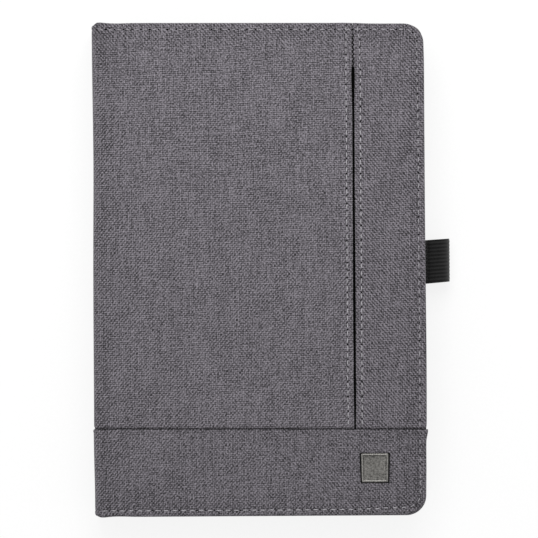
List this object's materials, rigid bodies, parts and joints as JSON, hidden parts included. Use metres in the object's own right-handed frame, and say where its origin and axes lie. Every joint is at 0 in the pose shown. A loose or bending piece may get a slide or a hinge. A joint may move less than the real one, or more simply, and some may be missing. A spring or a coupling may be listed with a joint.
{
  "type": "tablet keyboard case",
  "caption": "Cloth-covered folio for a small tablet: pen loop, front pocket and bare badge plate outside, easel tray and keyboard inside.",
  "frame": {"origin": "centre of the back cover's outer face, spine to free edge and end to end, without the pen loop", "axes": "+X from the spine to the free edge, +Y along the spine to the top of the cover as pictured, +Z from the back cover to the front cover"},
  "size_m": [0.161, 0.222, 0.0249],
  "materials": {
    "cover_cloth": "heathered plain weave, matt",
    "band_cloth": "heathered plain weave, matt, a little darker",
    "cover_board": "grey bookbinder's board",
    "lining_cloth": "dark brushed microfibre",
    "elastic": "ribbed woven elastic, black",
    "badge_metal": "dark pewter, bare face",
    "steel": "rolled and pressed",
    "magnet": "nickel plated",
    "tray_plastic": "fine spark texture",
    "deck_plastic": "fine spark texture",
    "key_plastic": "satin, light legends",
    "touchpad_face": "satin film",
    "rubber": "silicone, matt",
    "light_pipe": "clear diffuse",
    "circuit": "solder mask",
    "battery_foil": "pouch foil",
    "tape": "double-sided tape"
  },
  "bodies": {
    "back": {"back_fabric": "cover_cloth", "back_band": "band_cloth", "back_board": "cover_board", "back_lining": "lining_cloth", "pen_loop": "elastic", "stand_magnets": "magnet", "hinge_base_leaf": "steel", "hinge_pin": "steel", "base_rivets": "steel", "crease_back": "cover_cloth"},
    "spine": {"spine_fabric": "cover_cloth", "spine_band": "band_cloth", "spine_board": "cover_board", "spine_lining": "lining_cloth"},
    "front": {"front_main_fabric": "cover_cloth", "front_side_fabric": "cover_cloth", "front_band": "band_cloth", "pocket_lining": "lining_cloth", "front_board": "cover_board", "front_lining": "lining_cloth", "badge_plate": "badge_metal", "crease_front": "cover_cloth", "keyboard_deck": "deck_plastic", "keyboard_base": "deck_plastic", "keyboard_screws": "steel", "keyboard_tape": "tape", "bumpers": "rubber", "dome_sheet": "rubber", "membrane_circuit": "circuit", "support_plate": "steel", "touchpad_switch_block": "circuit", "status_lights": "light_pipe", "controller_board": "circuit", "battery": "battery_foil", "charging_socket": "steel"},
    "tray": {"tablet_tray": "tray_plastic", "tray_pad": "lining_cloth", "hinge_tray_leaf": "steel", "tray_rivets": "steel", "stand_pin": "steel"},
    "stand": {"stand_panel": "tray_plastic", "stand_strip": "steel"},
    "touchpad": {"touchpad": "touchpad_face"},
    "pair_button": {"pair_button": "key_plastic"},
    "power_switch": {"power_switch": "key_plastic"},
    "key_row_function": {"key_row_function": "key_plastic"},
    "key_row_numbers": {"key_row_numbers": "key_plastic"},
    "backspace_key": {"backspace_key": "key_plastic"},
    "tab_key": {"tab_key": "key_plastic"},
    "key_row_upper": {"key_row_upper": "key_plastic"},
    "caps_key": {"caps_key": "key_plastic"},
    "key_row_home": {"key_row_home": "key_plastic"},
    "enter_key": {"enter_key": "key_plastic"},
    "left_shift_key": {"left_shift_key": "key_plastic"},
    "key_row_lower": {"key_row_lower": "key_plastic"},
    "right_shift_key": {"right_shift_key": "key_plastic"},
    "key_row_bottom": {"key_row_bottom": "key_plastic"},
    "space_bar": {"space_bar": "key_plastic"}
  },
  "joints": [
    {"name": "spine_fold", "type": "hinge", "parent": "back", "child": "spine", "pos_m": [-0.072, 0, 0.003], "axis": [0, -1, 0], "range_deg": [0, 90], "deforming": ["crease_back"]},
    {"name": "front_fold", "type": "hinge", "parent": "spine", "child": "front", "pos_m": [-0.072, 0, 0.021], "axis": [0, -1, 0], "range_deg": [0, 90], "deforming": ["crease_front"]},
    {"name": "tray_lift", "type": "hinge", "parent": "back", "child": "tray", "pos_m": [-0.0699, 0, 0.0041], "axis": [0, -1, 0], "range_deg": [0, 62]},
    {"name": "stand_swing", "type": "hinge", "parent": "tray", "child": "stand", "pos_m": [-0.00785, 0, 0.0041], "axis": [0, 1, 0], "range_deg": [0, 124]},
    {"name": "key_row_function_press", "type": "slide", "parent": "front", "child": "key_row_function", "axis": [0, 0, 1], "range_m": [0, 0.0012], "stiffness_N_per_m": 300, "springref_m": -0.0005, "deforming": ["dome_sheet"]},
    {"name": "key_row_numbers_press", "type": "slide", "parent": "front", "child": "key_row_numbers", "axis": [0, 0, 1], "range_m": [0, 0.0012], "stiffness_N_per_m": 300, "springref_m": -0.0005, "deforming": ["dome_sheet"]},
    {"name": "backspace_key_press", "type": "slide", "parent": "front", "child": "backspace_key", "axis": [0, 0, 1], "range_m": [0, 0.0012], "stiffness_N_per_m": 300, "springref_m": -0.0005, "deforming": ["dome_sheet"]},
    {"name": "tab_key_press", "type": "slide", "parent": "front", "child": "tab_key", "axis": [0, 0, 1], "range_m": [0, 0.0012], "stiffness_N_per_m": 300, "springref_m": -0.0005, "deforming": ["dome_sheet"]},
    {"name": "key_row_upper_press", "type": "slide", "parent": "front", "child": "key_row_upper", "axis": [0, 0, 1], "range_m": [0, 0.0012], "stiffness_N_per_m": 300, "springref_m": -0.0005, "deforming": ["dome_sheet"]},
    {"name": "caps_key_press", "type": "slide", "parent": "front", "child": "caps_key", "axis": [0, 0, 1], "range_m": [0, 0.0012], "stiffness_N_per_m": 300, "springref_m": -0.0005, "deforming": ["dome_sheet"]},
    {"name": "key_row_home_press", "type": "slide", "parent": "front", "child": "key_row_home", "axis": [0, 0, 1], "range_m": [0, 0.0012], "stiffness_N_per_m": 300, "springref_m": -0.0005, "deforming": ["dome_sheet"]},
    {"name": "enter_key_press", "type": "slide", "parent": "front", "child": "enter_key", "axis": [0, 0, 1], "range_m": [0, 0.0012], "stiffness_N_per_m": 300, "springref_m": -0.0005, "deforming": ["dome_sheet"]},
    {"name": "left_shift_key_press", "type": "slide", "parent": "front", "child": "left_shift_key", "axis": [0, 0, 1], "range_m": [0, 0.0012], "stiffness_N_per_m": 300, "springref_m": -0.0005, "deforming": ["dome_sheet"]},
    {"name": "key_row_lower_press", "type": "slide", "parent": "front", "child": "key_row_lower", "axis": [0, 0, 1], "range_m": [0, 0.0012], "stiffness_N_per_m": 300, "springref_m": -0.0005, "deforming": ["dome_sheet"]},
    {"name": "right_shift_key_press", "type": "slide", "parent": "front", "child": "right_shift_key", "axis": [0, 0, 1], "range_m": [0, 0.0012], "stiffness_N_per_m": 300, "springref_m": -0.0005, "deforming": ["dome_sheet"]},
    {"name": "key_row_bottom_press", "type": "slide", "parent": "front", "child": "key_row_bottom", "axis": [0, 0, 1], "range_m": [0, 0.0012], "stiffness_N_per_m": 300, "springref_m": -0.0005, "deforming": ["dome_sheet"]},
    {"name": "space_bar_press", "type": "slide", "parent": "front", "child": "space_bar", "axis": [0, 0, 1], "range_m": [0, 0.0012], "stiffness_N_per_m": 300, "springref_m": -0.0005, "deforming": ["dome_sheet"]},
    {"name": "touchpad_press", "type": "slide", "parent": "front", "child": "touchpad", "axis": [0, 0, 1], "range_m": [0, 0.0004], "stiffness_N_per_m": 1500, "springref_m": -0.0002},
    {"name": "pair_button_press", "type": "slide", "parent": "front", "child": "pair_button", "axis": [0, 0, 1], "range_m": [0, 0.0005], "stiffness_N_per_m": 500, "springref_m": -0.0003},
    {"name": "power_switch_slide", "type": "slide", "parent": "front", "child": "power_switch", "axis": [1, 0, 0], "range_m": [0, 0.0025]}
  ],
  "couplings": [
    {"joint": "tray_lift", "follows": "spine_fold", "ratio": 0.68889},
    {"joint": "stand_swing", "follows": "spine_fold", "ratio": 1.3778}
  ]
}
